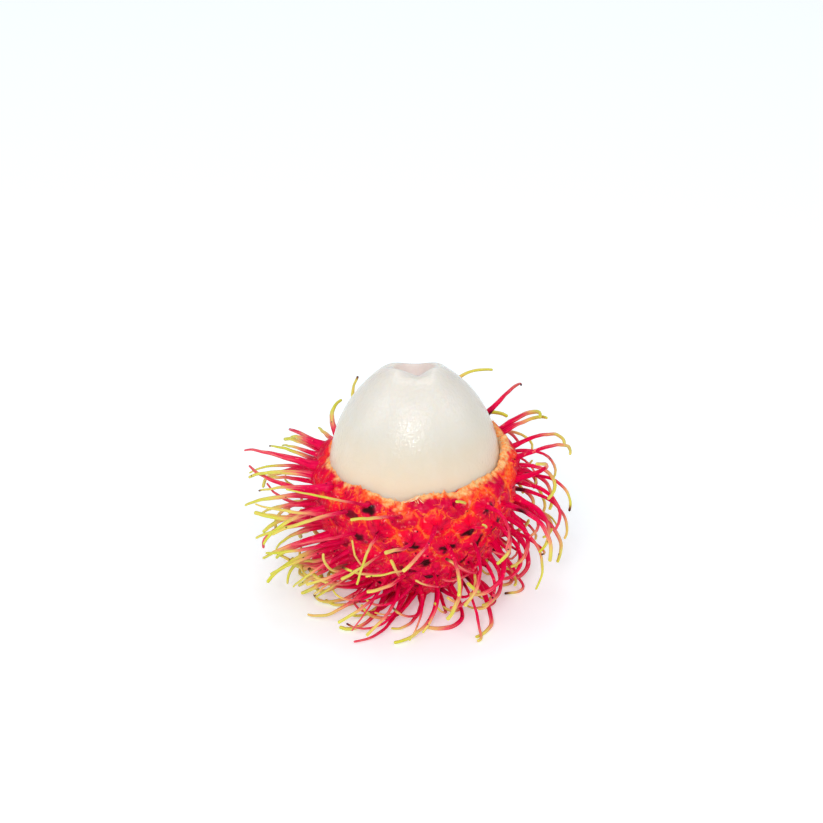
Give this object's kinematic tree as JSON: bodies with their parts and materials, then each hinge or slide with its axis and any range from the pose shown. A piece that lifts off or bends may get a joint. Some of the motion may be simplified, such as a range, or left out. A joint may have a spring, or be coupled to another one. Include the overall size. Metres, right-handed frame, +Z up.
{
  "type": "rambutan fruit",
  "caption": "Half-peeled rambutan: white egg-shaped flesh in a torn cup of red rind covered with long soft curling spines.",
  "frame": {"origin": "centre of the small flat spot that the rind stands on, at its stem end", "axes": "+Z up through the crown of the flesh; -Y is the front, where the notch in the crown runs down; +X is the side where the rim leans outwards"},
  "size_m": [0.0577, 0.0614, 0.042],
  "materials": {
    "rind_skin": "satin",
    "flesh": "satin"
  },
  "bodies": {
    "root": {"rind": "rind_skin", "flesh": "flesh"}
  },
  "joints": []
}
